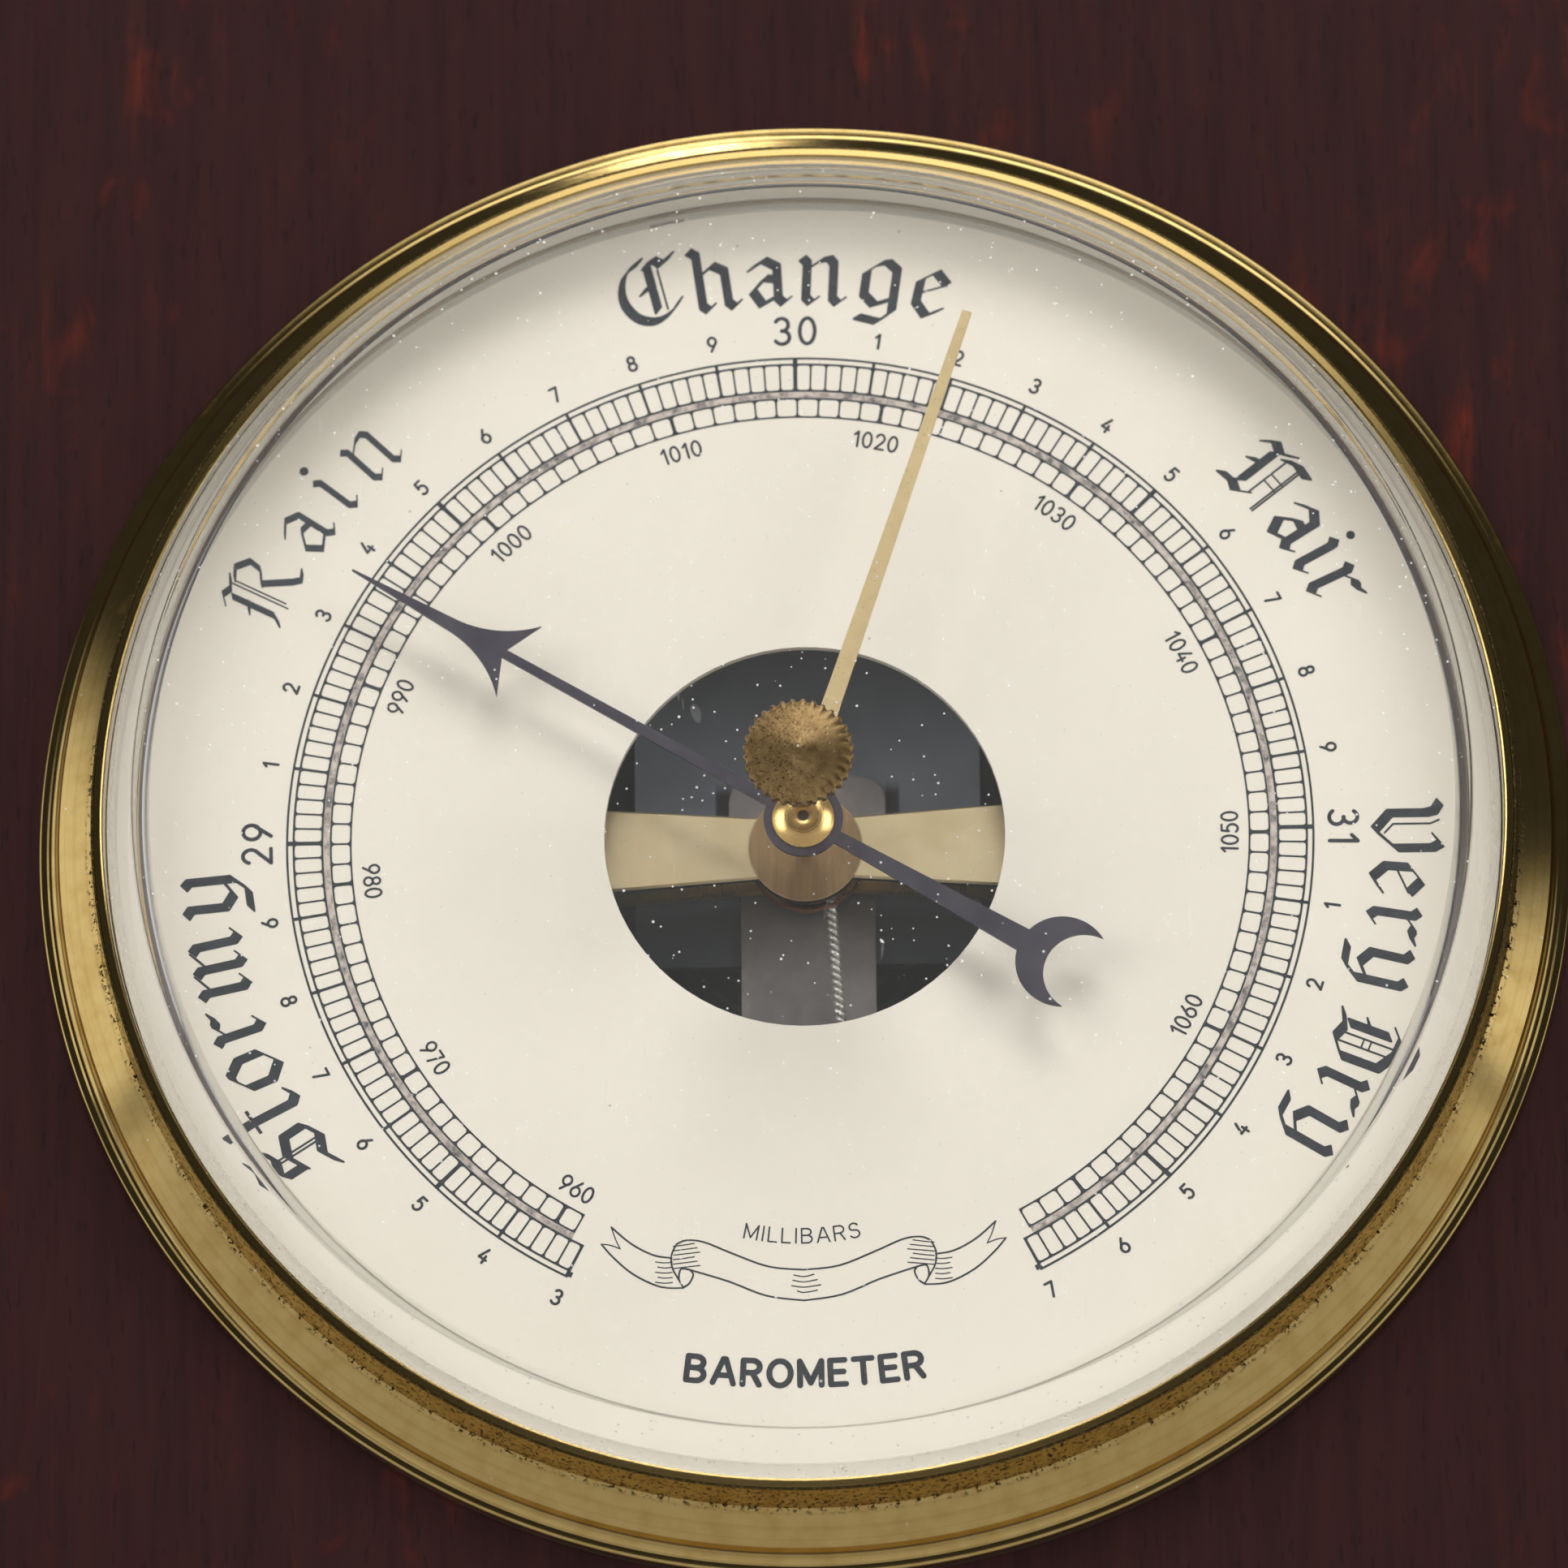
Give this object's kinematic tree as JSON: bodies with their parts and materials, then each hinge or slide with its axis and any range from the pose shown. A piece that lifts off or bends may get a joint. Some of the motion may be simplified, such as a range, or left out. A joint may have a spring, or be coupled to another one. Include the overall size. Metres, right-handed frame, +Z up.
{
  "type": "ship barometer",
  "caption": "Aneroid ship barometer: open-centre dial, blued pointer and brass set hand in a flanged brass case let into a mahogany board.",
  "frame": {"origin": "centre of the board's flat back, which lies on the wall, on the barometer's axis", "axes": "+Z up the wall, the dial faces -Y, +X to the right of someone reading the dial"},
  "size_m": [0.2, 0.0589, 0.2],
  "materials": {
    "mahogany": "gloss lacquer over vertical grain",
    "brass_plain": "satin turned",
    "case_brass": "spun, lightly aged",
    "bezel_brass": "polished and brushed bands",
    "knob_brass": "aged, pitted",
    "set_hand_brass": "matt, rolled",
    "hub_brass": "polished",
    "bridge_brass": "fine satin",
    "lens_clear": "clear, polished",
    "dial_enamel": "cream enamel with dark slate print",
    "blued_steel": "blued, satin",
    "spring_steel": "satin",
    "lever_steel": "grey satin",
    "chain_steel": "bright twisted wire links",
    "hairspring_bronze": "copper-coloured strip",
    "capsule_metal": "dark blue-black lacquer",
    "bracket_iron": "blue-grey, japanned"
  },
  "bodies": {
    "case": {"backboard": "mahogany", "hanger_plate": "brass_plain", "hanger_screws": "brass_plain", "case": "case_brass", "case_nuts": "brass_plain", "case_bolts": "brass_plain", "dial_seat": "brass_plain", "bezel": "bezel_brass", "retaining_ring": "bezel_brass", "lens": "lens_clear", "lens_bush": "knob_brass", "dial": "dial_enamel", "dial_feet": "brass_plain", "dial_pillars": "brass_plain", "hairspring": "hairspring_bronze", "hairspring_stud": "brass_plain", "base_plate": "brass_plain", "base_screws": "spring_steel", "bridge_pillars": "brass_plain", "pillar_sleeves": "brass_plain", "lower_cock": "brass_plain", "bridge": "bridge_brass", "bridge_screws": "blued_steel", "capsule_lower": "capsule_metal", "capsule_foot": "brass_plain", "spring_bracket": "bracket_iron", "bracket_screws": "spring_steel", "spring_clamp": "bracket_iron", "clamp_screws": "spring_steel", "rocker_bracket": "brass_plain", "rocker_foot_screws": "spring_steel"},
    "set_hand": {"knob": "knob_brass", "set_shaft": "knob_brass", "friction_washer": "spring_steel", "set_hand": "set_hand_brass"},
    "pointer": {"pointer": "blued_steel", "hub": "hub_brass", "arbor": "spring_steel", "chain_drum": "brass_plain", "chain_wrap": "chain_steel", "hairspring_collet": "brass_plain"},
    "rocker": {"rocker_shaft": "spring_steel", "rocker_arm": "brass_plain", "rocker_crank": "brass_plain", "chain_pin": "spring_steel"},
    "chain": {"chain": "chain_steel"},
    "lever": {"mainspring": "spring_steel", "main_lever": "lever_steel", "lever_rivets": "spring_steel", "link_rod": "spring_steel"},
    "capsule_lid": {"capsule_upper": "capsule_metal", "capsule_post": "spring_steel", "capsule_pin": "spring_steel"},
    "adjuster": {"adjuster_screw": "brass_plain"}
  },
  "joints": [
    {"name": "pointer_turn", "type": "hinge", "parent": "case", "child": "pointer", "pos_m": [0, -0.0342, 0], "axis": [0, 1, 0], "range_deg": [-96.08, 216.04]},
    {"name": "set_hand_turn", "type": "hinge", "parent": "case", "child": "set_hand", "pos_m": [0, -0.0482, 0], "axis": [0, 1, 0], "continuous": true},
    {"name": "rocker_turn", "type": "hinge", "parent": "case", "child": "rocker", "pos_m": [0, -0.0143, -0.033], "axis": [1, 0, 0], "range_deg": [-11.39, 25.6]},
    {"name": "chain_swing", "type": "hinge", "parent": "rocker", "child": "chain", "pos_m": [0.00405, -0.0277, -0.03136], "axis": [1, 0, 0], "range_deg": [-25.6, 11.39]},
    {"name": "lever_turn", "type": "hinge", "parent": "case", "child": "lever", "pos_m": [0, -0.0202, 0.038], "axis": [1, 0, 0], "range_deg": [-0.45, 1.02]},
    {"name": "capsule_lift", "type": "slide", "parent": "case", "child": "capsule_lid", "axis": [0, 1, 0], "range_m": [-0.00031, 0.00069]},
    {"name": "adjuster_turn", "type": "hinge", "parent": "case", "child": "adjuster", "pos_m": [0, -0.0082, 0.041], "axis": [0, 1, 0], "continuous": true}
  ],
  "couplings": [
    {"joint": "pointer_turn", "follows": "lever_turn", "ratio": 208.12},
    {"joint": "rocker_turn", "follows": "lever_turn", "ratio": 24.667},
    {"joint": "chain_swing", "follows": "lever_turn", "ratio": -24.667},
    {"joint": "capsule_lift", "follows": "lever_turn", "m_per_rad": 0.038}
  ]
}
